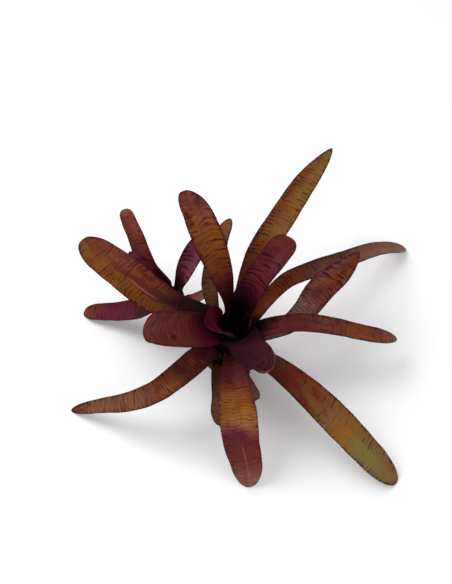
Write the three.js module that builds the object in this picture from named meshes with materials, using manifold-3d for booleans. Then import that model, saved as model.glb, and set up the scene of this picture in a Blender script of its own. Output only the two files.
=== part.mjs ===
// A tiger-banded neoregelia, lifted from its pot: a mother rosette and one pup on a short stolon.
// Millimetres, +Z up. The origin is the centre of the stem's cut end, on the surface where the plant rests.
import * as THREE from "three";
import { mergeVertices } from "three/addons/utils/BufferGeometryUtils.js";
import Module from "manifold-3d";

const wasm = await Module();
wasm.setup();

// Leaves
const MIDRIB_THICKNESS = 0.9;
const MARGIN_THICKNESS = 0.65;
const TIP_WIDTH = 1.4;
const SHEATH_ROWS = 6;
const BLADE_ROWS = 12;
const BLADE_ROW_CROWDING = 1.35;
const COLUMNS = 6;

// Places along a blade, as shares of the way from its neck to its tip: where the tank's curve has given way
// to the blade's channel, where the channel starts to open, where the blade points at its tip, where its
// upper face is turned up, and where it would reach its fore width
const CHANNEL_SET = 0.3;
const CHANNEL_OPENS = 0.5;
const HEADING_SET = 0.5;
const FACE_SET = 0.25;
const FORE_AT = 1.05;

// A tank is a nest of shells round the rosette's axis. Each leaf's sheath lies on one shell, and its spine
// passes these places on the way up: [radius, height] on the innermost and on the outermost shell.
// The half angles say how far the sheath wraps the axis, and it narrows from a share of the way to its belly.
const MOTHER_TANK = {
  shells: 11,
  root: { inner: [7.8, 33], outer: [10.2, 9] },
  flare: { inner: [11.5, 41], outer: [23, 14] },
  belly: { inner: [15, 56], outer: [31, 30] },
  neck: { inner: [15, 80], outer: [30, 46] },
  lip: { inner: [16.5, 89], outer: [33, 54] },
  rootHalfAngle: 70,
  bellyHalfAngle: 56,
  narrowsFrom: 0.8,
};
const PUP_TANK = {
  shells: 4,
  root: { inner: [4.4, 17], outer: [5.7, 9.5] },
  flare: { inner: [6, 21], outer: [10.5, 12] },
  belly: { inner: [7.5, 29], outer: [14, 19] },
  neck: { inner: [7, 39], outer: [13, 28] },
  lip: { inner: [8, 44], outer: [14.5, 33] },
  rootHalfAngle: 66,
  bellyHalfAngle: 55,
  narrowsFrom: 0.8,
};
const PUP_AT = [-60, 56, 3];

// Each leaf: its shell in the tank, the azimuth of its sheath in degrees, and the places that its blade
// passes on the way to its tip. Its widths are those at the neck, at the belly and towards the tip. The belly
// and the end say at which share of the blade it is widest and from where it rounds off, and the point how
// bluntly: 0.4 is blunt and 0.65 pointed. The channel is how far the sides turn up, in degrees, along the
// blade and at the tip.
const MOTHER_LEAVES = [
  {
    name: "leaf_heart_left", shell: 0, azimuth: 205,
    blade: [[-22, -11, 96], [-25, -12, 101]],
    widths: [39, 36, 30], belly: 0.5, end: 0.35, point: 0.5, channel: [60, 45],
  },
  {
    name: "leaf_heart_right", shell: 0, azimuth: 8,
    blade: [[18, 3, 91]],
    widths: [18, 9, 5], belly: 0.4, end: 0.1, point: 0.8, channel: [50, 40],
  },
  {
    name: "leaf_inner_front", shell: 2, azimuth: 292,
    blade: [[14, -38, 97], [24, -47, 103], [33, -51, 101]],
    widths: [32, 33, 30], belly: 0.4, end: 0.66, point: 0.45, channel: [40, 16],
  },
  {
    name: "leaf_inner_back", shell: 1, azimuth: 62,
    blade: [[15, 14, 114], [24, 20, 132], [35, 31, 142], [47, 49, 144]],
    widths: [25, 25, 25], belly: 0.5, end: 0.84, point: 0.38, channel: [36, 18],
  },
  {
    name: "leaf_inner_left", shell: 3, azimuth: 205,
    blade: [[-37, -21, 104], [-50, -25, 113], [-64, -23, 115], [-76, -17, 110]],
    widths: [31, 36, 34], belly: 0.5, end: 0.7, point: 0.45, channel: [28, 16],
  },
  {
    name: "leaf_upper_left", shell: 4, azimuth: 101,
    blade: [[-10, 27, 112], [-17, 37, 132], [-24, 49, 146], [-33, 71, 151], [-45, 96, 147]],
    widths: [9, 29, 20], belly: 0.62, end: 0.82, point: 0.45, channel: [34, 22],
  },
  {
    name: "leaf_right", shell: 5, azimuth: 352,
    blade: [[43, -5, 84], [60, -5, 87], [86, -4, 79], [118, -1, 60], [157, 7, 33]],
    widths: [19, 20, 16], belly: 0.4, end: 0.8, point: 0.5, channel: [44, 30],
  },
  {
    name: "leaf_left", shell: 5, azimuth: 157,
    blade: [[-55, 13, 86], [-76, 21, 95], [-99, 39, 100], [-121, 59, 98], [-142, 82, 92]],
    widths: [20, 36, 29], belly: 0.5, end: 0.78, point: 0.45, channel: [30, 18],
  },
  {
    name: "leaf_upper_right", shell: 6, azimuth: 74,
    blade: [[21, 52, 106], [43, 82, 122], [64, 117, 126], [97, 175, 114]],
    widths: [16, 26, 18], belly: 0.42, end: 0.66, point: 0.62, channel: [36, 20],
  },
  {
    name: "leaf_front", shell: 6, azimuth: 268,
    blade: [[1, -61, 72], [3, -78, 64], [6, -97, 46], [11, -111, 26], [15, -126, 1]],
    widths: [15, 34, 25], belly: 0.48, end: 0.8, point: 0.5, channel: [26, 24],
  },
  {
    name: "leaf_back_right", shell: 7, azimuth: 38,
    blade: [[47, 42, 78], [75, 58, 73], [109, 81, 55], [150, 112, 28], [189, 133, 0]],
    widths: [13, 22, 18], belly: 0.4, end: 0.88, point: 0.5, channel: [48, 34],
  },
  {
    name: "leaf_front_left", shell: 7, azimuth: 222,
    blade: [[-42, -42, 70], [-66, -59, 63], [-92, -62, 46], [-120, -58, 26], [-155, -53, 0]],
    widths: [19, 25, 11], belly: 0.2, end: 0.85, point: 0.5, channel: [40, 34],
  },
  {
    name: "leaf_lower_right", shell: 8, azimuth: 352,
    blade: [[51, 8, 60], [66, 17, 70], [81, 34, 80], [100, 51, 84], [120, 76, 80]],
    widths: [14, 28, 20], belly: 0.58, end: 0.6, point: 0.65, channel: [30, 20],
  },
  {
    name: "leaf_back", shell: 9, azimuth: 128,
    blade: [[-22, 37, 86], [-17, 52, 102], [-12, 70, 110], [-3, 96, 106]],
    widths: [11, 18, 12], belly: 0.5, end: 0.8, point: 0.5, channel: [34, 24],
  },
  {
    name: "leaf_front_right", shell: 9, azimuth: 308,
    blade: [[38, -38, 66], [62, -59, 64], [94, -85, 46], [122, -106, 24], [148, -122, 0]],
    widths: [18, 31, 25], belly: 0.55, end: 0.8, point: 0.5, channel: [30, 22],
  },
  {
    name: "leaf_old_right", shell: 10, azimuth: 274,
    blade: [[12, -50, 45], [23, -56, 40]],
    widths: [13, 18, 16], belly: 0.7, end: 0.7, point: 0.5, channel: [24, 16],
  },
  {
    name: "leaf_old_left", shell: 11, azimuth: 246,
    blade: [[-10, -54, 41], [-12, -66, 32], [-13, -75, 20]],
    widths: [12, 20, 17], belly: 0.5, end: 0.7, point: 0.5, channel: [24, 16],
  },
];
const PUP_LEAVES = [
  {
    name: "pup_leaf_inner", shell: 0, azimuth: 165,
    blade: [[-17, -1, 67], [-28, 7, 76], [-39, 20, 77]],
    widths: [14, 18, 14], belly: 0.5, end: 0.7, point: 0.5, channel: [40, 26],
  },
  {
    name: "pup_leaf_heart", shell: 0, azimuth: 330,
    blade: [[9, -4, 50]],
    widths: [12, 10, 7], belly: 0.4, end: 0.5, point: 0.6, channel: [44, 36],
  },
  {
    name: "pup_leaf_back", shell: 1, azimuth: 140,
    blade: [[-22, 13, 59], [-29, 24, 71], [-34, 36, 79], [-41, 52, 81], [-47, 69, 79]],
    widths: [13, 18, 14], belly: 0.4, end: 0.88, point: 0.45, channel: [36, 26],
  },
  {
    name: "pup_leaf_right", shell: 2, azimuth: 48,
    blade: [[13, 8, 59], [20, 18, 69], [28, 29, 77], [35, 42, 81]],
    widths: [12, 22, 18], belly: 0.6, end: 0.7, point: 0.5, channel: [34, 22],
  },
  {
    name: "pup_leaf_left", shell: 3, azimuth: 200,
    blade: [[-22, -19, 41], [-35, -18, 31], [-57, -12, 15], [-94, -2, -3]],
    widths: [16, 24, 18], belly: 0.3, end: 0.84, point: 0.45, channel: [34, 26],
  },
  {
    name: "pup_leaf_front", shell: 4, azimuth: 322,
    blade: [[21, -13, 42], [32, -14, 53], [44, -10, 68]],
    widths: [13, 15, 12], belly: 0.5, end: 0.8, point: 0.5, channel: [34, 24],
  },
];

// Stem and stolon
const STEM_PROFILE = [[0, 0], [9.6, 0], [10, 3], [9.2, 8], [8.9, 13], [7.8, 22], [7, 33], [5, 39], [0, 41]];
const PUP_STEM_PROFILE = [[0, 0], [4.4, 0.5], [4.9, 4], [4.7, 9], [3.9, 17], [2.6, 20], [0, 21]];
const STEM_SIDES = 20;
const STOLON_RADIUS = 4.2;
const STOLON_SIDES = 10;
const STOLON_STEPS = 12;
const STOLON_PATH = [[0, 0, 5], [-18, 17, 5.2], [-42, 39, 5], [-60, 56, 6]];

// Colours and gloss
const LEAF_COLOR = 0x7a4226;
const HEART_COLOR = 0x3a0f1c;
const PUP_COLOR = 0x6a2a34;
const STEM_COLOR = 0x5a4030;
const LEAF_ROUGHNESS = 0.45;
const STEM_ROUGHNESS = 0.9;

const radians = THREE.MathUtils.degToRad;
const mix = THREE.MathUtils.lerp;
const smooth = (from, to, x) => THREE.MathUtils.smoothstep(x, from, to);

// The level direction at an azimuth given in radians.
const level = (azimuth) => new THREE.Vector3(Math.cos(azimuth), Math.sin(azimuth), 0);

// The leaf's spine: up its shell of the tank, then along its blade.
function spineOf(leaf, tank) {
  const share = leaf.shell / tank.shells;
  const outward = level(radians(leaf.azimuth));
  const onShell = [tank.root, tank.flare, tank.belly, tank.neck, tank.lip].map(({ inner, outer }) => {
    const radius = mix(inner[0], outer[0], share);
    return outward.clone().multiplyScalar(radius).setZ(mix(inner[1], outer[1], share));
  });
  const blade = leaf.blade.map((place) => new THREE.Vector3(...place));
  const curve = new THREE.CatmullRomCurve3([...onShell, ...blade], false, "centripetal");
  const perSpan = 24;
  curve.arcLengthDivisions = perSpan * (curve.points.length - 1);
  const lengths = curve.getLengths();
  const whole = lengths.at(-1);
  const aim = blade.at(-1);
  return {
    curve,
    outward,
    turn: Math.atan2(outward.x * aim.y - outward.y * aim.x, outward.x * aim.x + outward.y * aim.y),
    bellyShare: lengths[2 * perSpan] / whole,
    neckShare: lengths[3 * perSpan] / whole,
    neckRadius: Math.hypot(onShell[3].x, onShell[3].y),
  };
}

// Half the blade's width, measured round its channel, at the share b of the way from the neck to the tip.
function halfWidth(leaf, b) {
  const [neck, belly, fore] = leaf.widths;
  const rising = mix(neck, belly, smooth(0, leaf.belly, b));
  const width = b < leaf.belly ? rising : mix(belly, fore, smooth(leaf.belly, FORE_AT, b));
  const rounding = Math.max(0, (b - leaf.end) / (1 - leaf.end));
  return Math.max(TIP_WIDTH, width * (1 - rounding ** 2) ** leaf.point) / 2;
}

// How the leaf is curved across at the share u of its spine: half its angle and the radius of its bend.
function bendAt(leaf, tank, spine, u, b) {
  const neckAngle = leaf.widths[0] / 2 / spine.neckRadius;
  if (b > 0) {
    const [along, tip] = leaf.channel.map(radians);
    const opening = mix(neckAngle, along, smooth(0, CHANNEL_SET, b));
    const angle = mix(opening, tip, smooth(CHANNEL_OPENS, 1, b));
    return { angle, radius: halfWidth(leaf, b) / angle };
  }
  const climbed = Math.min(1, u / spine.bellyShare);
  const sheath = radians(mix(tank.rootHalfAngle, tank.bellyHalfAngle, climbed));
  const place = spine.curve.getPointAt(u);
  return {
    angle: mix(sheath, neckAngle, smooth(spine.bellyShare * tank.narrowsFrom, spine.neckShare, u)),
    radius: Math.hypot(place.x, place.y),
  };
}

// One row of the leaf's middle surface, from its right margin to its left, at the share u of the spine.
function rowAt(leaf, tank, spine, u) {
  const centre = spine.curve.getPointAt(u);
  const along = spine.curve.getTangentAt(u);
  const b = Math.max(0, (u - spine.neckShare) / (1 - spine.neckShare));
  const heading = radians(leaf.azimuth) + spine.turn * smooth(0, HEADING_SET, b);
  const side = level(heading - Math.PI / 2);
  side.addScaledVector(along, -side.dot(along)).normalize();
  const upper = side.clone().cross(along);
  const inward = spine.outward.clone().negate().lerp(upper, smooth(0, FACE_SET, b)).normalize();
  const bend = bendAt(leaf, tank, spine, u, b);
  return Array.from({ length: COLUMNS + 1 }, (_, i) => {
    const angle = bend.angle * (1 - (2 * i) / COLUMNS);
    return centre
      .clone()
      .addScaledVector(side, bend.radius * Math.sin(angle))
      .addScaledVector(inward, bend.radius * (1 - Math.cos(angle)));
  });
}

// The shares of the spine at which the rows lie, closer together towards the tip.
function rowShares(neckShare) {
  const shares = [];
  for (let j = 0; j < SHEATH_ROWS; j++) shares.push((neckShare * j) / SHEATH_ROWS);
  for (let j = 0; j <= BLADE_ROWS; j++) {
    const left = (1 - j / BLADE_ROWS) ** BLADE_ROW_CROWDING;
    shares.push(mix(neckShare, 1, 1 - left));
  }
  return shares;
}

// The leaf as a closed solid: its middle surface thickened both ways, thinner towards the margins. No part of
// it goes below the floor.
function leafGeometry(leaf, tank, floor) {
  const spine = spineOf(leaf, tank);
  const rows = rowShares(spine.neckShare).map((u) => rowAt(leaf, tank, spine, u));
  const last = rows.length - 1;
  const positions = [];
  for (const face of [1, -1]) {
    rows.forEach((row, j) =>
      row.forEach((place, i) => {
        const forward = rows[Math.min(j + 1, last)][i].clone().sub(rows[Math.max(j - 1, 0)][i]);
        const across = row[Math.max(i - 1, 0)].clone().sub(row[Math.min(i + 1, COLUMNS)]);
        const normal = across.cross(forward).normalize();
        const edge = Math.abs((2 * i) / COLUMNS - 1);
        const half = mix(MIDRIB_THICKNESS, MARGIN_THICKNESS, edge * edge) / 2;
        const corner = place.clone().addScaledVector(normal, face * half);
        corner.z = Math.max(corner.z, floor + (face > 0 ? MARGIN_THICKNESS : 0));
        positions.push(corner.x, corner.y, corner.z);
      }),
    );
  }
  return closedSheet(positions, rows.length, COLUMNS + 1);
}

// A closed mesh from two grids of corners, the upper face first: both faces and the four edges between them.
function closedSheet(positions, rows, columns) {
  const under = rows * columns;
  const index = [];
  const quad = (a, b, c, d) => index.push(a, b, c, a, c, d);
  for (let j = 0; j < rows - 1; j++)
    for (let i = 0; i < columns - 1; i++) {
      const a = j * columns + i;
      const c = a + columns + 1;
      quad(a, a + columns, c, a + 1);
      index.push(under + a, under + c, under + a + columns);
      index.push(under + a, under + a + 1, under + c);
    }
  for (let j = 0; j < rows - 1; j++) {
    const a = j * columns;
    const c = a + columns - 1;
    quad(a, under + a, under + a + columns, a + columns);
    quad(c, c + columns, under + c + columns, under + c);
  }
  for (let i = 0; i < columns - 1; i++) {
    const c = (rows - 1) * columns + i;
    quad(i, i + 1, under + i + 1, under + i);
    quad(c, under + c, under + c + 1, c + 1);
  }
  const geometry = new THREE.BufferGeometry();
  geometry.setAttribute("position", new THREE.Float32BufferAttribute(positions, 3));
  geometry.setIndex(index);
  return geometry;
}

// A closed three.js mesh as a solid, and back.
function solidOf(geometry) {
  const bare = geometry.clone();
  bare.deleteAttribute("normal");
  bare.deleteAttribute("uv");
  const merged = mergeVertices(bare, 1e-3);
  return new wasm.Manifold(
    new wasm.Mesh({
      numProp: 3,
      vertProperties: merged.attributes.position.array,
      triVerts: new Uint32Array(merged.index.array),
    }),
  );
}
function geometryOf(solid) {
  const mesh = solid.getMesh();
  const geometry = new THREE.BufferGeometry();
  geometry.setAttribute("position", new THREE.BufferAttribute(mesh.vertProperties, 3));
  geometry.setIndex(new THREE.BufferAttribute(mesh.triVerts, 1));
  return geometry;
}

// A stem turned about its own upright axis.
function stemGeometry(profile) {
  const points = profile.map(([radius, height]) => new THREE.Vector2(radius, height));
  return new THREE.LatheGeometry(points, STEM_SIDES).rotateX(Math.PI / 2);
}

// The stolon: a round runner from the mother's stem to the pup's.
function stolonGeometry() {
  const ring = new THREE.Shape();
  ring.absarc(0, 0, STOLON_RADIUS, 0, 2 * Math.PI);
  return new THREE.ExtrudeGeometry(ring, {
    extrudePath: new THREE.CatmullRomCurve3(STOLON_PATH.map((place) => new THREE.Vector3(...place))),
    steps: STOLON_STEPS,
    curveSegments: STOLON_SIDES,
    bevelEnabled: false,
  });
}

// Stem, stolon and the pup's stem grew as one piece.
function rootstockGeometry() {
  const pupStem = stemGeometry(PUP_STEM_PROFILE).translate(...PUP_AT);
  const whole = solidOf(stemGeometry(STEM_PROFILE)).add(solidOf(stolonGeometry())).add(solidOf(pupStem));
  return geometryOf(whole);
}

// A named mesh with a material of its own.
function meshOf(name, geometry, color, roughness) {
  const mesh = new THREE.Mesh(geometry, new THREE.MeshStandardMaterial({ color, roughness, metalness: 0 }));
  mesh.name = name;
  return mesh;
}

// A rosette: one mesh for each leaf, round an upright axis at the given place.
function rosette(leaves, tank, place, colorOf) {
  const group = new THREE.Group();
  group.position.set(...place);
  for (const leaf of leaves)
    group.add(meshOf(leaf.name, leafGeometry(leaf, tank, -place[2]), colorOf(leaf), LEAF_ROUGHNESS));
  return group;
}

const motherColor = (leaf) => (leaf.shell === 0 ? HEART_COLOR : LEAF_COLOR);
const plant = new THREE.Group();
plant.add(meshOf("stem_and_stolon", rootstockGeometry(), STEM_COLOR, STEM_ROUGHNESS));
plant.add(rosette(MOTHER_LEAVES, MOTHER_TANK, [0, 0, 0], motherColor));
plant.add(rosette(PUP_LEAVES, PUP_TANK, PUP_AT, () => PUP_COLOR));

export default plant;
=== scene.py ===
"""A tiger-banded neoregelia with its pup: every leaf made finely in its solid's place, with a banded skin."""
import math

import bpy
import numpy as np
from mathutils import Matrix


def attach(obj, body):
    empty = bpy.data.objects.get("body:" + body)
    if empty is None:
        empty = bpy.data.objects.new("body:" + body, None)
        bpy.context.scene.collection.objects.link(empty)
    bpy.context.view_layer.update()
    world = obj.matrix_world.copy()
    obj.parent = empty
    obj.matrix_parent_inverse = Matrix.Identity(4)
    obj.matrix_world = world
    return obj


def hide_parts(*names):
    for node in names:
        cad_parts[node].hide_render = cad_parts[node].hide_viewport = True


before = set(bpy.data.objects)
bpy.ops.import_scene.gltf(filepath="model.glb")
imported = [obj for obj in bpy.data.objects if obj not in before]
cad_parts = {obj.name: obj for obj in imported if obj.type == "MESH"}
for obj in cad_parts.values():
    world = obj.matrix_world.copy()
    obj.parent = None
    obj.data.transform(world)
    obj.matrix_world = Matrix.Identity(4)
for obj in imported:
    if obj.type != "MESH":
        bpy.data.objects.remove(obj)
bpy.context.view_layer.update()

# Lengths are in millimetres, as in the part's source, and meshes are scaled to metres as they are made.
MM = 0.001

# Leaf section
MIDRIB_THICKNESS = 0.9
MARGIN_THICKNESS = 0.65
TIP_WIDTH = 0.9
ROW_PITCH = 1.0
BLADE_ROW_CROWDING = 1.35
# Places across half a leaf, from the midrib to the margin: close together at both.
HALF_COLUMNS = (0, 0.04, 0.09, 0.15, 0.22, 0.3, 0.39, 0.49, 0.59, 0.69, 0.78, 0.86, 0.92, 0.96, 0.985, 1)
ROUNDED_FROM = 0.96

# Places along a blade, as shares of the way from its neck to its tip: where the tank's curve has given way
# to the blade's channel, where the channel starts to open, where the blade points at its tip, where its
# upper face is turned up, and where it would reach its fore width
CHANNEL_SET = 0.3
CHANNEL_OPENS = 0.5
HEADING_SET = 0.5
FACE_SET = 0.25
FORE_AT = 1.05

# Fine relief. Ripples and waves have one pitch at the right margin and another at the left.
CREASE_DEPTH = 0.14
CREASE_WIDTH = 1.8
RIB_HEIGHT = 0.04
RIB_PITCH = 2.6
RIPPLE_HEIGHT = 0.12
RIPPLE_PITCHES = (21, 17.43)
RIPPLE_SET = (0.1, 0.3)
WAVE_SHARE = 0.006
WAVE_PITCHES = (27, 21.6)
WAVE_SET = 0.2
RELIEF_SET = (-0.1, 0.15)
RELIEF_ENDS = 0.9
TOOTH_PITCH = 4.3
TOOTH_REACH = 0.22
TOOTH_LEAN = 0.6
TOOTH_RANGE = (0.04, 0.96)
TIP_SPINE = 1.0

# Marks on the skin
BAR_PITCH = 4.3
BAR_REGULARITY = 0.06
BAR_RISE_AT_MARGIN = 0.11
BAR_DRIFT = 18.0
FAINTEST_BAR = 0.3
LINE_PITCH = 2.6
LINE_REGULARITY = 0.12
SPOT_SCALE = 0.42
MARGIN_REACH = (0.75, 3.4)

# The noise that each mark comes from: its waves a millimetre across and along the leaf, and a shift that
# keeps it apart from the others
FIELDS = dict(
    drift=(0.03, 0.02, 1.3),
    bars=(0.09, 0.6, 2.7),
    present=(0.05, 0.07, 5.1),
    lines=(0.1, 0.7, 8.9),
    clouds=(0.08, 0.05, 11.7),
    streaks=(0.17, 0.04, 14.2),
    specks=(0.2, 0.2, 17.3),
    dashes=(0.06, 0.42, 21.1),
    veins=(1.7, 0.03, 25.3),
    grain=(2.1, 2.1, 29.9),
)
# The values between which each mark goes from nothing to full. Spots, margins and the painted crease
# highlight fade over theirs.
LEVELS = dict(
    bars=(0.58, 0.65),
    present=(0.38, 0.5),
    lines=(0.5, 0.61),
    clouds=(0.44, 0.66),
    streaks=(0.42, 0.62),
    specks=(0.5, 0.58),
    spots=(0.13, 0.25),
    dashes=(0.5, 0.62),
    margin=(0.45, 1.0),
    crease=(0.2, 1.1),
)

# Where coats of the skin set in: across the leaf from its midrib at 0, or along its blade
SIDE_TINT_ACROSS = (-0.1, 0.6)
SIDE_TINT_ALONG = (0.15, 0.4)
CLOUDS_ALONG = (0.2, 0.45)
RIM_ALONG = (0.8, 0.95)
BARS_FADE = 0.08
CREASE_HIGHLIGHT_FADE = 0.06
PATCH_FADE = (0.2, 1.0)
PATCH_RAGGEDNESS = 0.4
MARGIN_STRENGTH = 0.8
TONES_WANDER = 0.06
TONES_CENTRE = 0.485

# The surface of a leaf. Its back is duller, and scurfy except near its margins and its tank.
SPECULAR = 0.06
BACK_DULLNESS = 0.2
GLOSS_SPREAD = (-0.06, 0.1)
GLOSS_GRAIN = (0.3, 0.75)
SCURF_GRAIN = (0.35, 0.75)
SCURF_STRENGTH = (0.3, 0.6)
SCURF_OFF_MARGIN = (0.4, 1.8)
SCURF_ALONG = (0, 0.3)
GRIME_GRAIN = (0.3, 0.8)
GRIME_STRENGTH = (0, 0.14)
VEIN_BUMP = 0.7
GRAIN_BUMP = 0.25
LINE_BUMP = -0.2
BUMP_STRENGTH = 0.55
BUMP_METRES = 0.00025

# Bark: the waves a metre of its mottle, its fibres and its rings, and how far the rings wander in metres
MOTTLE_SCALE = 130.0
FIBRE_SCALE = 1400.0
FIBRE_STRETCH = 0.15
RING_SCALE = 420.0
RING_WANDER = 0.0015
RINGS_SHOWN = (0.5, 0.62, 0, 0.6)
FIBRES_SHOWN = (0.45, 0.7, 0, 0.4)
FIBRE_BUMP = 0.6
BARK_BUMP_STRENGTH = 0.8
BARK_BUMP_METRES = 0.0006
BARK_ROUGHNESS = 0.82
BARK_SPECULAR = 0.25

# Tanks and leaves, with the values of the part's source. A tank is a nest of shells round the rosette's axis,
# and a leaf's spine climbs its shell and then passes the places of its blade.
MOTHER_TANK = dict(
    shells=11,
    inner=((7.8, 33), (11.5, 41), (15, 56), (15, 80), (16.5, 89)),
    outer=((10.2, 9), (23, 14), (31, 30), (30, 46), (33, 54)),
    half_angles=(70, 56),
    narrows_from=0.8,
)
PUP_TANK = dict(
    shells=4,
    inner=((4.4, 17), (6, 21), (7.5, 29), (7, 39), (8, 44)),
    outer=((5.7, 9.5), (10.5, 12), (14, 19), (13, 28), (14.5, 33)),
    half_angles=(66, 55),
    narrows_from=0.8,
)
PUP_AT = (-60, 56, 3)
BELLY_STATION = 2
NECK_STATION = 3
MOTHER_SEED = 1
PUP_SEED = 31
SEED_SHIFT = 3.7

MOTHER_LEAVES = [
    dict(name="leaf_heart_left", shell=0, azimuth=205, blade=[(-22, -11, 96), (-25, -12, 101)],
         widths=(39, 36, 30), belly=0.5, end=0.35, point=0.5, channel=(60, 45)),
    dict(name="leaf_heart_right", shell=0, azimuth=8, blade=[(18, 3, 91)],
         widths=(18, 9, 5), belly=0.4, end=0.1, point=0.8, channel=(50, 40)),
    dict(name="leaf_inner_front", shell=2, azimuth=292, blade=[(14, -38, 97), (24, -47, 103), (33, -51, 101)],
         widths=(32, 33, 30), belly=0.4, end=0.66, point=0.45, channel=(40, 16)),
    dict(name="leaf_inner_back", shell=1, azimuth=62,
         blade=[(15, 14, 114), (24, 20, 132), (35, 31, 142), (47, 49, 144)],
         widths=(25, 25, 25), belly=0.5, end=0.84, point=0.38, channel=(36, 18)),
    dict(name="leaf_inner_left", shell=3, azimuth=205,
         blade=[(-37, -21, 104), (-50, -25, 113), (-64, -23, 115), (-76, -17, 110)],
         widths=(31, 36, 34), belly=0.5, end=0.7, point=0.45, channel=(28, 16)),
    dict(name="leaf_upper_left", shell=4, azimuth=101,
         blade=[(-10, 27, 112), (-17, 37, 132), (-24, 49, 146), (-33, 71, 151), (-45, 96, 147)],
         widths=(9, 29, 20), belly=0.62, end=0.82, point=0.45, channel=(34, 22)),
    dict(name="leaf_right", shell=5, azimuth=352,
         blade=[(43, -5, 84), (60, -5, 87), (86, -4, 79), (118, -1, 60), (157, 7, 33)],
         widths=(19, 20, 16), belly=0.4, end=0.8, point=0.5, channel=(44, 30)),
    dict(name="leaf_left", shell=5, azimuth=157,
         blade=[(-55, 13, 86), (-76, 21, 95), (-99, 39, 100), (-121, 59, 98), (-142, 82, 92)],
         widths=(20, 36, 29), belly=0.5, end=0.78, point=0.45, channel=(30, 18)),
    dict(name="leaf_upper_right", shell=6, azimuth=74,
         blade=[(21, 52, 106), (43, 82, 122), (64, 117, 126), (97, 175, 114)],
         widths=(16, 26, 18), belly=0.42, end=0.66, point=0.62, channel=(36, 20)),
    dict(name="leaf_front", shell=6, azimuth=268,
         blade=[(1, -61, 72), (3, -78, 64), (6, -97, 46), (11, -111, 26), (15, -126, 1)],
         widths=(15, 34, 25), belly=0.48, end=0.8, point=0.5, channel=(26, 24)),
    dict(name="leaf_back_right", shell=7, azimuth=38,
         blade=[(47, 42, 78), (75, 58, 73), (109, 81, 55), (150, 112, 28), (189, 133, 0)],
         widths=(13, 22, 18), belly=0.4, end=0.88, point=0.5, channel=(48, 34)),
    dict(name="leaf_front_left", shell=7, azimuth=222,
         blade=[(-42, -42, 70), (-66, -59, 63), (-92, -62, 46), (-120, -58, 26), (-155, -53, 0)],
         widths=(19, 25, 11), belly=0.2, end=0.85, point=0.5, channel=(40, 34)),
    dict(name="leaf_lower_right", shell=8, azimuth=352,
         blade=[(51, 8, 60), (66, 17, 70), (81, 34, 80), (100, 51, 84), (120, 76, 80)],
         widths=(14, 28, 20), belly=0.58, end=0.6, point=0.65, channel=(30, 20)),
    dict(name="leaf_back", shell=9, azimuth=128,
         blade=[(-22, 37, 86), (-17, 52, 102), (-12, 70, 110), (-3, 96, 106)],
         widths=(11, 18, 12), belly=0.5, end=0.8, point=0.5, channel=(34, 24)),
    dict(name="leaf_front_right", shell=9, azimuth=308,
         blade=[(38, -38, 66), (62, -59, 64), (94, -85, 46), (122, -106, 24), (148, -122, 0)],
         widths=(18, 31, 25), belly=0.55, end=0.8, point=0.5, channel=(30, 22)),
    dict(name="leaf_old_right", shell=10, azimuth=274, blade=[(12, -50, 45), (23, -56, 40)],
         widths=(13, 18, 16), belly=0.7, end=0.7, point=0.5, channel=(24, 16)),
    dict(name="leaf_old_left", shell=11, azimuth=246, blade=[(-10, -54, 41), (-12, -66, 32), (-13, -75, 20)],
         widths=(12, 20, 17), belly=0.5, end=0.7, point=0.5, channel=(24, 16)),
]
PUP_LEAVES = [
    dict(name="pup_leaf_inner", shell=0, azimuth=165, blade=[(-17, -1, 67), (-28, 7, 76), (-39, 20, 77)],
         widths=(14, 18, 14), belly=0.5, end=0.7, point=0.5, channel=(40, 26)),
    dict(name="pup_leaf_heart", shell=0, azimuth=330, blade=[(9, -4, 50)],
         widths=(12, 10, 7), belly=0.4, end=0.5, point=0.6, channel=(44, 36)),
    dict(name="pup_leaf_back", shell=1, azimuth=140,
         blade=[(-22, 13, 59), (-29, 24, 71), (-34, 36, 79), (-41, 52, 81), (-47, 69, 79)],
         widths=(13, 18, 14), belly=0.4, end=0.88, point=0.45, channel=(36, 26)),
    dict(name="pup_leaf_right", shell=2, azimuth=48,
         blade=[(13, 8, 59), (20, 18, 69), (28, 29, 77), (35, 42, 81)],
         widths=(12, 22, 18), belly=0.6, end=0.7, point=0.5, channel=(34, 22)),
    dict(name="pup_leaf_left", shell=3, azimuth=200,
         blade=[(-22, -19, 41), (-35, -18, 31), (-57, -12, 15), (-94, -2, -3)],
         widths=(16, 24, 18), belly=0.3, end=0.84, point=0.45, channel=(34, 26)),
    dict(name="pup_leaf_front", shell=4, azimuth=322, blade=[(21, -13, 42), (32, -14, 53), (44, -10, 68)],
         widths=(13, 15, 12), belly=0.5, end=0.8, point=0.5, channel=(34, 24)),
]

# Rootstock
STEM_PROFILE = ((9.6, 0), (10, 3), (9.2, 8), (8.9, 13), (7.8, 22), (7, 33), (5, 39), (0.5, 41))
PUP_STEM_PROFILE = ((4.4, 0.5), (4.9, 4), (4.7, 9), (3.9, 17), (2.6, 20), (0.4, 21))
STOLON_RADIUS = 4.2
STOLON_PATH = ((0, 0, 5), (-18, 17, 5.2), (-42, 39, 5), (-60, 56, 6))
STEM_ROW_PITCH = 0.4
STEM_SIDES = 48
STOLON_ROWS = 200
STOLON_SIDES = 32
STEM_SCARS = dict(pitch=3.1, depth=0.45)
STOLON_SCARS = dict(pitch=11, depth=0.5)
SCAR_FROM = 0.55
ROOTSTOCK_VOXEL = 0.45
# A tube's sides are turned from one of two directions, whichever isn't along it.
STEEP = 0.9
NEARLY_UP = (0.3, 0.2, 1)
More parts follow.
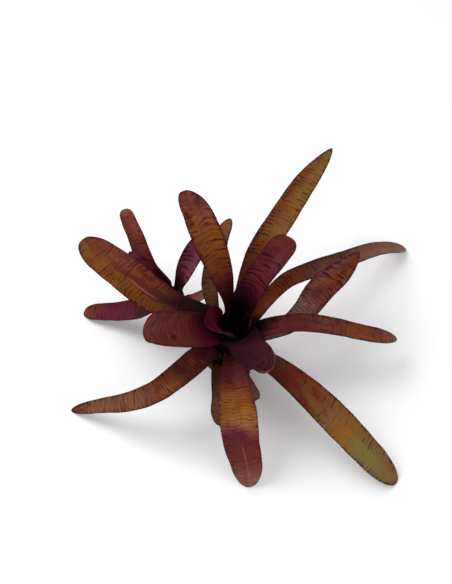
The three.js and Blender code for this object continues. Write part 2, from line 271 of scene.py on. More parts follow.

# Tones, as the screen shows them, from 0 to 255
# A near-black: at the leaves' roots and necks it is painted shade of the tank's depth, and it also darkens
# the grime and the bark's scar rings.
SHADE_AND_MARK_BLACK = (8, 4, 9)
PLUM_BLACK = (26, 8, 18)
INK_WINE = (36, 5, 16)
WINE = (50, 8, 20)
OXBLOOD = (70, 14, 16)
GARNET = (74, 10, 32)
CLARET = (60, 18, 30)
CRIMSON = (100, 14, 42)
MAROON = (78, 26, 30)
RUBY = (98, 34, 38)
MAGENTA = (98, 24, 48)
RUSSET = (94, 34, 20)
EMBER = (86, 34, 18)
CHESTNUT = (92, 38, 30)
BRICK = (108, 46, 38)
BARK = (60, 34, 22)
UMBER = (80, 40, 20)
SIENNA = (106, 50, 18)
ORANGE = (122, 62, 22)
CORAL = (116, 58, 34)
HONEY = (112, 66, 18)
AMBER = (136, 84, 14)
GOLD = (146, 94, 38)
STRAW = (152, 102, 62)
OLIVE = (114, 82, 30)
MOSS = (118, 96, 40)
FERN = (128, 108, 52)
SAND = (128, 100, 66)
TAN = (122, 80, 54)
ROSE = (124, 74, 68)
SALMON = (142, 94, 84)
MAUVE = (102, 50, 66)
GREY_MAUVE = (122, 92, 92)
SCURF = (150, 138, 136)

# What a skin has where nothing else is said. A tone comes before the strength of its mark, from 0 to 1, and
# left and right hold both. Ranges go along the blade, from 0 at its neck to 1 at its tip. The bow is how far
# a bar lags at the margins, in millimetres, and bold widens the bars.
# Crease is the strength of a painted highlight along the midrib's crease.
PLAIN_SKIN = dict(
    accent=AMBER, streaks=0.35, cloud=MAROON, clouds=0.25, line=OXBLOOD, lines=0.35,
    bar=WINE, bars=0.75, bars_from=0.1, bars_to=1.2, bold=0, bow=3, specks=0.4, margin=WINE, rim=None,
    left=None, right=None, patches=(), crease=0, crease_range=(0.1, 0.6), roughness=0.48,
)


def skin(tones, **changes):
    """How one leaf is coloured. Tones go from -1 at the root, through 0 at the neck, to 1 at the tip."""
    return {**PLAIN_SKIN, "tones": tones, **changes}


# The near-black and plum-black tones at the roots and necks, and over most of the heart leaves, are painted
# shade of the tank's depth over the sheaths' own dark purple.
# A patch is its place (across from -1 at the left margin to 1 at the right, along from the neck), its half
# size across and along, its tone and its strength.
SKINS = {
    "leaf_heart_left": skin(
        [(-1, SHADE_AND_MARK_BLACK), (0, INK_WINE), (0.15, WINE), (0.35, GARNET), (1, GARNET)],
        streaks=0, clouds=0, line=WINE, lines=0.3, bars=0, specks=0, margin=GARNET, roughness=0.5,
    ),
    "leaf_heart_right": skin(
        [(-1, SHADE_AND_MARK_BLACK), (0, SHADE_AND_MARK_BLACK), (0.7, PLUM_BLACK), (1, WINE)],
        streaks=0, clouds=0, lines=0.1, bars=0, specks=0, margin=CLARET, roughness=0.5,
    ),
    # The dark from its neck to the start of its blade is painted shade in its inner bend.
    "leaf_inner_front": skin(
        [(-1, SHADE_AND_MARK_BLACK), (-0.2, SHADE_AND_MARK_BLACK), (0.1, PLUM_BLACK), (0.24, INK_WINE), (0.4, CLARET), (0.8, CLARET),
         (1, MAROON)],
        streaks=0, line=PLUM_BLACK, lines=0.9, bar=PLUM_BLACK, bars=0.5, bow=9, clouds=0,
        margin=PLUM_BLACK, rim=ROSE,
    ),
    "leaf_inner_back": skin(
        [(-1, SHADE_AND_MARK_BLACK), (0.08, SHADE_AND_MARK_BLACK), (0.2, WINE), (0.36, GARNET), (0.55, RUBY), (0.8, RUBY), (0.86, CHESTNUT),
         (1, CHESTNUT)],
        streaks=0, cloud=WINE, clouds=0.4, line=WINE, lines=0.3, bar=INK_WINE, bars=1, bars_to=0.8, bold=0.04,
    ),
    "leaf_inner_left": skin(
        [(-1, SHADE_AND_MARK_BLACK), (0, PLUM_BLACK), (0.12, WINE), (0.38, GARNET), (0.52, CHESTNUT), (0.9, CHESTNUT),
         (1, BRICK)],
        streaks=0.3, accent=RUSSET, line=INK_WINE, lines=0.6, bars=0.5, bars_from=0.3, bow=6, cloud=OXBLOOD,
        patches=[((-0.35, 0.68), (0.2, 0.035), WINE, 1), ((-0.5, 0.86), (0.08, 0.015), WINE, 0.8)],
    ),
    "leaf_upper_left": skin(
        [(-1, PLUM_BLACK), (0, WINE), (0.2, MAROON), (0.32, RUSSET), (0.42, SIENNA), (0.55, ORANGE),
         (0.72, CORAL), (0.84, BRICK), (0.94, BRICK), (1, MAROON)],
        bars=0.9, bold=0.03, specks=0.7, left=(BRICK, 0.4),
        patches=[((0.3, 0.55), (0.7, 0.12), AMBER, 0.35), ((0.4, 0.86), (0.5, 0.07), UMBER, 1),
                 ((-0.75, 0.78), (0.3, 0.04), WINE, 0.7)],
    ),
    "leaf_right": skin(
        [(-1, SHADE_AND_MARK_BLACK), (0.06, SHADE_AND_MARK_BLACK), (0.12, WINE), (0.18, RUBY), (0.38, MAROON), (0.5, BRICK), (0.6, ORANGE),
         (0.86, SIENNA), (0.92, ROSE), (1, GREY_MAUVE)],
        streaks=0.4, lines=0.2, bars=0.85, bars_from=0.35, specks=0.6, cloud=MAUVE, rim=GREY_MAUVE,
    ),
    "leaf_left": skin(
        [(-1, SHADE_AND_MARK_BLACK), (0.12, SHADE_AND_MARK_BLACK), (0.26, INK_WINE), (0.34, BARK), (0.44, EMBER), (0.66, EMBER),
         (0.76, SIENNA), (0.88, SIENNA), (0.95, UMBER), (1, BARK)],
        left=(HONEY, 0.8), bar=OXBLOOD, bars=0.85, lines=0.3, specks=0.5,
        # A painted highlight along its midrib's crease
        crease=0.6, crease_range=(0.36, 0.6), patches=[((0.2, 0.66), (0.4, 0.05), CHESTNUT, 0.7)],
    ),
    "leaf_upper_right": skin(
        [(-1, PLUM_BLACK), (0, WINE), (0.04, OXBLOOD), (0.1, RUSSET), (0.34, SIENNA), (0.46, ORANGE),
         (0.6, OLIVE), (0.9, OLIVE), (1, ROSE)],
        accent=MOSS, streaks=0.45, bar=OXBLOOD, bars=0.9, lines=0.2, left=(SIENNA, 0.75), right=(OLIVE, 0.8),
    ),
    # Its black neck is painted shade of the hollow between it and the leaves beside it.
    "leaf_front": skin(
        [(-1, SHADE_AND_MARK_BLACK), (0.06, SHADE_AND_MARK_BLACK), (0.14, WINE), (0.23, MAROON), (0.32, SIENNA), (0.42, GOLD), (0.5, STRAW),
         (0.56, STRAW), (0.6, BRICK), (0.64, RUBY), (0.7, BRICK), (0.76, BRICK), (0.86, ROSE),
         (0.93, SALMON)],
        accent=SIENNA, line=RUSSET, lines=0.5, specks=0.9, bars=0.6, bars_to=0.9, bold=-0.04,
        # A painted highlight along its midrib's crease, beyond its bend
        clouds=0.15, margin=MAROON, rim=SALMON, crease=0.5, crease_range=(0.64, 1.1),
        patches=[((-0.7, 0.6), (0.7, 0.05), MAGENTA, 0.45), ((0, 0.58), (0.7, 0.06), MAGENTA, 0.45),
                 ((0.7, 0.55), (0.7, 0.07), MAGENTA, 0.5)],
    ),
    "leaf_back_right": skin(
        [(-1, PLUM_BLACK), (0, BARK), (0.1, SIENNA), (0.28, SIENNA), (0.36, ROSE), (0.44, ROSE),
         (0.52, BRICK), (0.6, ROSE), (0.9, SALMON), (1, GREY_MAUVE)],
        accent=OLIVE, streaks=0.5, bars=0.9, bars_to=0.62, specks=0.5, left=(BRICK, 0.3), right=(TAN, 0.35),
        clouds=0.15, rim=GREY_MAUVE,
    ),
    # Its black neck is painted shade of the hollow between it and the leaves beside it.
    "leaf_front_left": skin(
        [(-1, SHADE_AND_MARK_BLACK), (0, SHADE_AND_MARK_BLACK), (0.08, WINE), (0.16, CHESTNUT), (0.27, UMBER), (0.36, SIENNA), (0.5, TAN),
         (0.84, TAN), (0.94, CHESTNUT), (1, MAROON)],
        streaks=0.3, lines=0.5, bars=0.7, specks=0.5,
        patches=[((-0.5, 0.31), (0.6, 0.07), AMBER, 0.4), ((0.35, 0.25), (0.7, 0.04), WINE, 0.4),
                 ((0.2, 0.19), (0.4, 0.03), AMBER, 0.3), ((0.1, 0.47), (0.6, 0.05), MAUVE, 0.5)],
    ),
    "leaf_lower_right": skin(
        [(-1, PLUM_BLACK), (0, MAUVE), (0.16, GREY_MAUVE), (0.42, GREY_MAUVE), (0.5, CHESTNUT),
         (0.66, RUSSET), (0.85, UMBER), (1, BARK)],
        bars=0.9, bars_from=0.45, lines=0.5, left=(GREY_MAUVE, 0.3), right=(ORANGE, 0.45), specks=0.5,
    ),
    "leaf_back": skin(
        [(-1, PLUM_BLACK), (0, BARK), (0.2, TAN), (1, TAN)], accent=OLIVE, bars=0.5, lines=0.4, margin=BARK,
    ),
    "leaf_front_right": skin(
        [(-1, SHADE_AND_MARK_BLACK), (0.05, WINE), (0.14, UMBER), (0.24, RUSSET), (0.36, RUSSET), (0.42, SIENNA), (0.5, TAN),
         (0.6, GOLD), (0.68, SAND), (0.94, SAND), (1, MAUVE)],
        accent=MOSS, streaks=0.5, bars=0.7, bold=-0.05, lines=0.1, specks=0.6, clouds=0.15,
        left=(SIENNA, 0.3),
        patches=[((0.1, 0.78), (0.7, 0.14), FERN, 0.9)],
    ),
    "leaf_old_right": skin(
        [(-1, BARK), (0.3, MAUVE), (1, SALMON)],
        streaks=0, bars=0.2, lines=0.3, roughness=0.6,
    ),
    "leaf_old_left": skin(
        [(-1, BARK), (0.3, UMBER), (0.6, TAN), (1, TAN)],
        streaks=0.2, bars=0.3, roughness=0.6,
    ),
    "pup_leaf_inner": skin(
        [(-1, SHADE_AND_MARK_BLACK), (0.1, INK_WINE), (0.4, GARNET), (1, CRIMSON)],
        streaks=0, clouds=0, bar=INK_WINE, bars=1, bold=0.06,
    ),
    "pup_leaf_heart": skin([(-1, SHADE_AND_MARK_BLACK), (0.2, PLUM_BLACK), (1, WINE)], streaks=0, bars=0.4, lines=0.5),
    "pup_leaf_back": skin(
        [(-1, PLUM_BLACK), (0.1, MAGENTA), (0.3, MAROON), (0.45, BRICK), (0.88, BRICK), (1, TAN)],
        accent=CORAL, streaks=0.5, bars=0.7, lines=0.4, specks=0.2, margin=MAROON, rim=TAN,
        patches=[((-0.2, 0.96), (0.8, 0.06), OLIVE, 0.7)],
    ),
    "pup_leaf_right": skin(
        [(-1, PLUM_BLACK), (0.1, WINE), (0.22, MAGENTA), (0.45, MAUVE), (0.6, MAGENTA), (1, MAUVE)],
        streaks=0, cloud=MAUVE, clouds=0.4, bars=1, bold=0.03, lines=0.3, right=(GREY_MAUVE, 0.35),
    ),
    "pup_leaf_left": skin(
        [(-1, PLUM_BLACK), (0.2, WINE), (0.4, MAGENTA), (0.78, MAGENTA), (0.87, BRICK), (0.95, SIENNA),
         (1, OLIVE)],
        streaks=0, clouds=0.15, bar=INK_WINE, bars=0.85, lines=0.3, margin=MAROON,
    ),
    "pup_leaf_front": skin(
        [(-1, PLUM_BLACK), (0, WINE), (0.15, MAGENTA), (0.4, ROSE), (0.6, TAN), (1, TAN)],
        streaks=0, bars=0.4, lines=0.3,
    ),
}

# Camera and light
VIEW_TARGET = (-0.007, 0.025, 0.092)
VIEW_DISTANCE = 0.62
VIEW_ELEVATION = 60
FRAME_HEIGHT = 36
LENS = 42.47
CLIP_START = 0.01
WORLD_TONE = (0.97, 0.98, 1, 1)
WORLD_STRENGTH = 0.66
FLOOR_REACH = 3.0
FLOOR_TONES = ((0.94, 0.94, 0.94, 1), (0.97, 0.97, 0.96, 1))
FLOOR_MOTTLE = 9.0
FLOOR_ROUGHNESS = 0.9
LIGHTS_AIM = (0, 0, 0.05)
# Each lamp: its name, its place, the width of its disk in metres and its power in watts
LAMPS = (
    ("softbox", (-0.7, 0.35, 1.1), 0.8, 11),
    ("fill", (0.9, -0.6, 0.9), 0.9, 3),
)


def mix(a, b, share):
    return a + (b - a) * share


def smooth(low, high, x):
    """From 0 where x is low to 1 where it is high, with soft ends."""
    t = np.clip((np.asarray(x, float) - low) / (high - low), 0, 1)
    return t * t * (3 - 2 * t)


def unit(vectors):
    return vectors / np.linalg.norm(vectors, axis=-1, keepdims=True)


def level(azimuth):
    """The level directions at azimuths given in radians."""
    azimuth = np.asarray(azimuth, float)
    return np.stack([np.cos(azimuth), np.sin(azimuth), np.zeros_like(azimuth)], axis=-1)


class Curve:
    """A centripetal Catmull-Rom curve through places, walked by the share of its length."""

    PER_SPAN = 24
    SHORT_STEP = 1e-4

    def __init__(self, places):
        places = np.array(places, float)
        self.spans = len(places) - 1
        before = 2 * places[0] - places[1]
        after = 2 * places[-1] - places[-2]
        self.places = np.vstack([before, places, after])
        self.steps = np.linspace(0, 1, self.PER_SPAN * self.spans + 1)
        walked = np.linalg.norm(np.diff(self.at_step(self.steps), axis=0), axis=1)
        self.lengths = np.concatenate([[0], np.cumsum(walked)])
        self.length = self.lengths[-1]

    def at_step(self, step):
        place = np.clip(step, 0, 1) * self.spans
        span = np.minimum(place.astype(int), self.spans - 1)
        w = (place - span)[:, None]
        p0, p1, p2, p3 = (self.places[span + k] for k in range(4))
        d0, d1, d2 = (
            np.sum((b - a) ** 2, axis=1, keepdims=True) ** 0.25 for a, b in ((p0, p1), (p1, p2), (p2, p3))
        )
        m1 = ((p1 - p0) / d0 - (p2 - p0) / (d0 + d1) + (p2 - p1) / d1) * d1
        m2 = ((p2 - p1) / d1 - (p3 - p1) / (d1 + d2) + (p3 - p2) / d2) * d1
        return p1 + m1 * w + (3 * (p2 - p1) - 2 * m1 - m2) * w**2 + (2 * (p1 - p2) + m1 + m2) * w**3

    def step_at(self, share):
        return np.interp(np.asarray(share) * self.length, self.lengths, self.steps)

    def at(self, share):
        return self.at_step(self.step_at(share))

    def along(self, share):
        step = self.step_at(share)
        return unit(self.at_step(step + self.SHORT_STEP) - self.at_step(step - self.SHORT_STEP))

    def share_at_place(self, number):
        return self.lengths[number * self.PER_SPAN] / self.length


def half_width(leaf, b):
    """Half the blade's width, round its channel, at the share b of the way from the neck to the tip."""
    neck, belly, fore = leaf["widths"]
    low = mix(neck, belly, smooth(0, leaf["belly"], b))
    high = mix(belly, fore, smooth(leaf["belly"], FORE_AT, b))
    side = np.where(b < leaf["belly"], low, high)
    q = np.maximum(0, (b - leaf["end"]) / (1 - leaf["end"]))
    return np.maximum(TIP_WIDTH, side * (1 - q * q) ** leaf["point"]) / 2


def leaf_spine(leaf, tank):
    """The leaf's spine, up its shell of the tank and along its blade, and its neck's radius in the tank."""
    part = leaf["shell"] / tank["shells"]
    outward = level(math.radians(leaf["azimuth"]))
    stations = mix(np.array(tank["inner"], float), np.array(tank["outer"], float), part)
    climb = [(*(outward[:2] * radius), height) for radius, height in stations]
    return Curve([*climb, *leaf["blade"]]), stations[NECK_STATION][0]


def row_shares(curve, neck):
    """Where the rows lie along the spine: evenly up to the neck, and closer together towards the tip."""
    rows_below = round(curve.length * neck / ROW_PITCH)
    rows_above = round(curve.length * (1 - neck) / ROW_PITCH)
    below = np.linspace(0, neck, rows_below, endpoint=False)
    above = mix(neck, 1, 1 - (1 - np.linspace(0, 1, rows_above + 1)) ** BLADE_ROW_CROWDING)
    return np.concatenate([below, above])


def row_directions(leaf, along, b):
    """The directions to the leaf's right, and those that its upper face looks: to the axis, then up."""
    azimuth = math.radians(leaf["azimuth"])
    outward = level(azimuth)
    aim = leaf["blade"][-1]
    turn = math.atan2(outward[0] * aim[1] - outward[1] * aim[0], outward[0] * aim[0] + outward[1] * aim[1])
    side = level(azimuth + turn * smooth(0, HEADING_SET, b) - math.pi / 2)
    side = unit(side - along * np.sum(side * along, axis=1, keepdims=True))
    upper = np.cross(side, along)
    return side, unit(mix(-outward, upper, smooth(0, FACE_SET, b)[:, None]))


def half_angles(leaf, tank, neck_radius, share, belly, neck):
    """Half the angle that the leaf spans round its channel, below the neck and above it."""
    b = (share - neck) / (1 - neck)
    neck_angle = leaf["widths"][0] / 2 / neck_radius
    mid_angle, tip_angle = np.radians(leaf["channel"])
    root_angle, belly_angle = np.radians(tank["half_angles"])
    blade = mix(neck_angle, mid_angle, smooth(0, CHANNEL_SET, b))
    blade = mix(blade, tip_angle, smooth(CHANNEL_OPENS, 1, b))
    sheath = mix(root_angle, belly_angle, np.minimum(1, share / belly))
    sheath = mix(sheath, neck_angle, smooth(tank["narrows_from"] * belly, neck, share))
    return sheath, blade


def margin_swing(across, millimetres, b, phase):
    """A factor by which each margin wanders a little, in its own way."""
    turns = (millimetres * 2 * math.pi / pitch + shift for pitch, shift in zip(WAVE_PITCHES, phase))
    right, left = (np.sin(turn)[:, None] for turn in turns)
    wander = np.where(across > 0, right, left)
    return 1 + WAVE_SHARE * smooth(0, WAVE_SET, b)[:, None] * wander


def leaf_surface(leaf, tank, across, random):
    """The leaf's middle surface as rows of places from right to left, and what its skin needs."""
    curve, neck_radius = leaf_spine(leaf, tank)
    belly = curve.share_at_place(BELLY_STATION)
    neck = curve.share_at_place(NECK_STATION)
    share = row_shares(curve, neck)
    b = np.maximum(0, (share - neck) / (1 - neck))

    centre = curve.at(share)
    side, inward = row_directions(leaf, curve.along(share), b)
    sheath_angle, blade_angle = half_angles(leaf, tank, neck_radius, share, belly, neck)
    on_blade = b > 0
    angle = np.where(on_blade, blade_angle, sheath_angle)
    from_axis = np.hypot(centre[:, 0], centre[:, 1])
    radius = np.where(on_blade, half_width(leaf, b) / blade_angle, from_axis)

    millimetres = share * curve.length
    phase = random.uniform(0, 2 * math.pi, 4)
    a = angle[:, None] * across * margin_swing(across, millimetres, b, phase)
    places = centre[:, None] + side[:, None] * (radius[:, None] * np.sin(a))[..., None]
    places = places + inward[:, None] * (radius[:, None] * (1 - np.cos(a)))[..., None]

    rows, columns = a.shape
    facts = dict(
        right=radius[:, None] * a,
        along=np.repeat(millimetres[:, None], columns, axis=1),
        across=np.repeat(across[None], rows, axis=0),
        blade=np.repeat(np.where(on_blade, b, share / neck - 1)[:, None], columns, axis=1),
        margin=(radius * angle)[:, None] * (1 - np.abs(across)),
        phase=phase,
    )
    return places, facts


def normals_of(places):
    """The directions that a grid of places looks."""
    forward = np.gradient(places, axis=0)
    right = -np.gradient(places, axis=1)
    return unit(np.cross(right, forward))


def relief(facts):
    """How far the skin is lifted: a crease along the midrib, faint ribs, and rippled margins."""
    right, along, blade = facts["right"], facts["along"], facts["blade"]
    off_tip = 1 - smooth(RELIEF_ENDS, 1, blade)
    crease = -CREASE_DEPTH * np.exp(-((right / CREASE_WIDTH) ** 2)) * smooth(*RELIEF_SET, blade) * off_tip
    ribs = RIB_HEIGHT * np.cos(2 * math.pi * right / RIB_PITCH) * off_tip
    shifts = facts["phase"][2:]
    waves = (np.sin(2 * math.pi * along / pitch + shift) for pitch, shift in zip(RIPPLE_PITCHES, shifts))
    ripple = RIPPLE_HEIGHT * np.abs(facts["across"]) ** 3 * np.where(right > 0, *waves)
    return crease + ribs + ripple * smooth(*RIPPLE_SET, blade) * off_tip


def half_thickness(across):
    """Half the leaf's thickness at places across it, rounded off at its margins."""
    edge = np.abs(across)
    rounded = np.clip((edge - ROUNDED_FROM) / (1 - ROUNDED_FROM), 0, 1)
    return mix(MIDRIB_THICKNESS, MARGIN_THICKNESS, edge**2) / 2 * np.sqrt(1 - rounded**2)


def add_teeth(places, facts):
    """Draws single margin corners out and forward, so that small spines stand along both margins."""
    forward = unit(np.gradient(places, axis=0))
    blade = facts["blade"][:, 0]
    along = facts["along"][:, 0]
    low, high = TOOTH_RANGE
    starts = np.flatnonzero(np.diff(np.floor(along / TOOTH_PITCH)) > 0) + 1
    starts = starts[(blade[starts] > low) & (blade[starts] < high)]
    for column, inner in ((0, 1), (-1, -2)):
        outward = unit(places[starts, column] - places[starts, inner])
        lean = TOOTH_LEAN * TOOTH_REACH * forward[starts, column]
        places[starts, column] += TOOTH_REACH * outward + lean


def ring_faces(rows, ring):
    """Quads round a tube of rows, each a ring of corners."""
    index = np.arange(rows * ring).reshape(rows, ring)
    here, ahead = index[:-1], index[1:]
    quads = np.stack([here, ahead, np.roll(ahead, -1, axis=1), np.roll(here, -1, axis=1)], axis=-1)
    return quads.reshape(-1, 4).tolist()


def root_cap(ring):
    """Closes a leaf's first row between its upper and its lower face."""
    half = ring // 2
    faces = [(0, 1, ring - 1)]
    faces += [(i, i + 1, ring - i - 1, ring - i) for i in range(1, half - 1)]
    return faces + [(half - 1, half, half + 1)]


def leaf_faces(leaf, tank, floor, seed):
    """The leaf's upper and lower faces as grids of places above the floor, and what its skin needs."""
    across = np.array([*HALF_COLUMNS[:0:-1], *(-s for s in HALF_COLUMNS)])
    middle, facts = leaf_surface(leaf, tank, across, np.random.default_rng(seed))
    normal = normals_of(middle)
    lift = relief(facts)[..., None]
    half = half_thickness(across)[None, :, None]
    upper = middle + normal * (lift + half)
    lower = middle + normal * (lift - half)
    upper[..., 2] = np.maximum(upper[..., 2], floor + 2 * half[..., 0])
    lower[..., 2] = np.maximum(lower[..., 2], floor)
    add_teeth(upper, facts)
    upper[..., 2] = np.maximum(upper[..., 2], floor)
    return upper, lower, facts


def rings_of(upper, lower):
    """Joins the rows of both faces into rings round the leaf."""
    return np.concatenate([upper, lower[:, -2:0:-1]], axis=1)


def tip_spine(rings, floor):
    """The end of the small spine at the leaf's tip."""
    middle = rings[-1].mean(axis=0)
    three_rows_back = rings[-4].mean(axis=0)
    spine = middle + TIP_SPINE * unit(middle - three_rows_back)
    spine[2] = max(spine[2], floor)
    return spine


def keep(mesh, name, grids):
    """Keeps three pairs of grids, of the upper and the lower face, as one vector a corner."""
    values = []
    for upper, lower in grids:
        rings = rings_of(upper, lower)
        values.append(np.append(rings.reshape(-1), rings[-1].mean()))
    attribute = mesh.attributes.new(name, "FLOAT_VECTOR", "POINT")
    attribute.data.foreach_set("vector", np.stack(values, axis=-1).astype(np.float32).reshape(-1))


def leaf_mesh(leaf, tank, place, seed):
    """The leaf as one closed mesh in metres, with its places along and across kept for its skin."""
    floor = -place[2]
    upper, lower, facts = leaf_faces(leaf, tank, floor, seed)
    rings = rings_of(upper, lower)
    rows, ring = rings.shape[:2]
    corners = np.vstack([rings.reshape(-1, 3), tip_spine(rings, floor)]) + np.array(place)
    last = (rows - 1) * ring
    faces = ring_faces(rows, ring) + root_cap(ring)
    faces += [(last + i, rows * ring, last + (i + 1) % ring) for i in range(ring)]

    mesh = bpy.data.meshes.new(leaf["name"])
    mesh.from_pydata((corners * MM).tolist(), [], faces)
    mesh.polygons.foreach_set("use_smooth", np.ones(len(faces), bool))
    both = {key: (facts[key], facts[key]) for key in ("right", "along", "margin", "across", "blade")}
    shape = facts["right"].shape
    keep(mesh, "strap", (both["right"], both["along"], both["margin"]))
    keep(mesh, "place", (both["across"], both["blade"], (np.ones(shape), np.zeros(shape))))
    mesh.update()
    return mesh


def colour(tone):
    """A screen tone as a linear colour."""
    return (*(((c / 255 + 0.055) / 1.055) ** 2.4 if c > 10 else c / 255 / 12.92 for c in tone), 1)


class Nodes:
    """Wires one node tree by plain calls. A value may be a number, a colour or another node's output."""

    def __init__(self, tree):
        self.tree = tree

    def add(self, kind, inputs, **settings):
        node = self.tree.nodes.new(kind)
        for name, value in settings.items():
            setattr(node, name, value)
        for socket, value in inputs.items():
            if isinstance(value, bpy.types.NodeSocket):
                self.tree.links.new(value, node.inputs[socket])
            else:
                node.inputs[socket].default_value = value
        return node

    def math(self, operation, a, b=0.0, c=0.0):
        return self.add("ShaderNodeMath", {0: a, 1: b, 2: c}, operation=operation).outputs[0]

    def ranged(self, value, low, high, to_low=0.0, to_high=1.0):
        inputs = {"Value": value, "From Min": low, "From Max": high, "To Min": to_low, "To Max": to_high}
        return self.add("ShaderNodeMapRange", inputs, interpolation_type="SMOOTHSTEP").outputs[0]

    def blend(self, share, a, b):
        return self.add("ShaderNodeMix", {0: share, 6: a, 7: b}, data_type="RGBA").outputs[2]

    def join(self, x, y, z):
        return self.add("ShaderNodeCombineXYZ", {0: x, 1: y, 2: z}).outputs[0]

    def split(self, attribute):
        found = self.add("ShaderNodeAttribute", {}, attribute_name=attribute)
        return self.add("ShaderNodeSeparateXYZ", {0: found.outputs["Vector"]}).outputs[:]

    def noise(self, vector, scale=1.0, detail=2.0, roughness=0.5):
        inputs = {"Vector": vector, "Scale": scale, "Detail": detail, "Roughness": roughness}
        return self.add("ShaderNodeTexNoise", inputs).outputs[0]

    def ramp(self, value, stops):
        node = self.add("ShaderNodeValToRGB", {0: value})
        elements = node.color_ramp.elements
        while len(elements) > 1:
            elements.remove(elements[-1])
        elements[0].position, elements[0].color = stops[0]
        for position, tone in stops[1:]:
            elements.new(position).color = tone
        return node.outputs[0]


MARK_INPUTS = ("Seed", "Bold", "Bow")
MARKS = ("Bars", "Lines", "Streaks", "Clouds", "Specks", "Margin", "CreaseHighlight", "Veins", "Grain")


class MarkNodes(Nodes):
    """Draws the marks that all leaves share, each from 0 to 1, in millimetres along and across the leaf."""

    def __init__(self, tree):
        super().__init__(tree)
        self.seed, self.bold, self.bow = self.add("NodeGroupInput", {}).outputs[: len(MARK_INPUTS)]
        self.right, self.along, self.to_margin = self.split("strap")
        across = self.split("place")[0]
        self.edge = self.math("MULTIPLY", across, across)
        self.bent = self.bent_along()

    def field(self, name, place=None, **settings):
        across_scale, along_scale, shift = FIELDS[name]
        x = self.math("MULTIPLY", self.right, across_scale)
        y = self.math("MULTIPLY", self.along if place is None else place, along_scale)
        return self.noise(self.join(x, y, self.math("ADD", self.seed, shift)), **settings)

    def level_of(self, name, value, *to):
        return self.ranged(value, *LEVELS[name], *to)

    def bent_wave(self, pitch):
        return self.math("SINE", self.math("MULTIPLY", self.bent, 2 * math.pi / pitch))

    def bent_along(self):
        """The way along the leaf as bars go by it: they slant, wander and bow to the tip at their middle."""
        drift = self.math("MULTIPLY_ADD", self.field("drift"), BAR_DRIFT, -BAR_DRIFT / 2)
        return self.math("MULTIPLY_ADD", self.edge, self.bow, self.math("ADD", self.along, drift))

    def bars(self):
        """Broken bars, strongest at the margins."""
        ragged = self.field("bars", self.bent, detail=3)
        raised = self.math("MULTIPLY_ADD", self.bent_wave(BAR_PITCH), BAR_REGULARITY, ragged)
        raised = self.math("MULTIPLY_ADD", self.edge, BAR_RISE_AT_MARGIN, raised)
        present = self.level_of("present", self.field("present"), FAINTEST_BAR, 1)
        return self.math("MULTIPLY", self.level_of("bars", self.math("ADD", raised, self.bold)), present)

    def lines(self):
        """Thin lines across the leaf."""
        thread = self.field("lines", self.bent)
        raised = self.math("MULTIPLY_ADD", self.bent_wave(LINE_PITCH), LINE_REGULARITY, thread)
        return self.level_of("lines", raised)

    def specks(self):
        """Small round specks in loose crowds."""
        place = self.join(self.right, self.along, self.seed)
        cells = self.add("ShaderNodeTexVoronoi", {"Vector": place, "Scale": SPOT_SCALE})
        spots = self.level_of("spots", cells.outputs["Distance"], 1, 0)
        return self.math("MULTIPLY", spots, self.level_of("specks", self.field("specks")))

    def dashed_margin(self):
        """A dark margin that reaches in as short dashes."""
        dashes = self.level_of("dashes", self.field("dashes", self.bent), *MARGIN_REACH)
        return self.level_of("margin", self.math("DIVIDE", self.to_margin, dashes), 1, 0)


def marks_group():
    """The node group of the marks. Its inputs are a leaf's seed and the boldness and bow of its bars."""
    tree = bpy.data.node_groups.new("leaf_marks", "ShaderNodeTree")
    for name in MARK_INPUTS:
        tree.interface.new_socket(name, in_out="INPUT", socket_type="NodeSocketFloat")
    for mark in MARKS:
        tree.interface.new_socket(mark, in_out="OUTPUT", socket_type="NodeSocketFloat")
    nodes = MarkNodes(tree)
    outputs = dict(
        Bars=nodes.bars(),
        Lines=nodes.lines(),
        Streaks=nodes.level_of("streaks", nodes.field("streaks", detail=3, roughness=0.6)),
        Clouds=nodes.level_of("clouds", nodes.field("clouds", detail=3)),
        Specks=nodes.specks(),
        Margin=nodes.dashed_margin(),
        # The band along the midrib that takes the painted crease highlight
        CreaseHighlight=nodes.level_of("crease", nodes.math("ABSOLUTE", nodes.right), 1, 0),
        Veins=nodes.field("veins", detail=1),
        Grain=nodes.field("grain", detail=3, roughness=0.65),
    )
    nodes.add("NodeGroupOutput", outputs)
    return tree


def side_tint(nodes, tone, place, look):
    """Tints the left and the right half of a blade."""
    across, blade = place
    for key, sign in (("left", -1), ("right", 1)):
        if look[key]:
            tint, strength = look[key]
            onto = nodes.ranged(nodes.math("MULTIPLY", across, sign), *SIDE_TINT_ACROSS)
            shown = nodes.ranged(blade, *SIDE_TINT_ALONG, 0, strength)
            tone = nodes.blend(nodes.math("MULTIPLY", onto, shown), tone, colour(tint))
    return tone


def add_patches(nodes, tone, place, clouds, look):
    """Lays soft oval patches on a blade, their outlines disturbed by its clouds."""
    across, blade = place
    for (centre_across, centre_along), (wide, long), tint, strength in look["patches"]:
        x = nodes.math("MULTIPLY_ADD", across, 1 / wide, -centre_across / wide)
        y = nodes.math("MULTIPLY_ADD", blade, 1 / long, -centre_along / long)
        away = nodes.math("SQRT", nodes.math("MULTIPLY_ADD", x, x, nodes.math("MULTIPLY", y, y)))
        away = nodes.math("MULTIPLY_ADD", clouds, -PATCH_RAGGEDNESS, away)
        tone = nodes.blend(nodes.ranged(away, *PATCH_FADE, strength, 0), tone, colour(tint))
    return tone


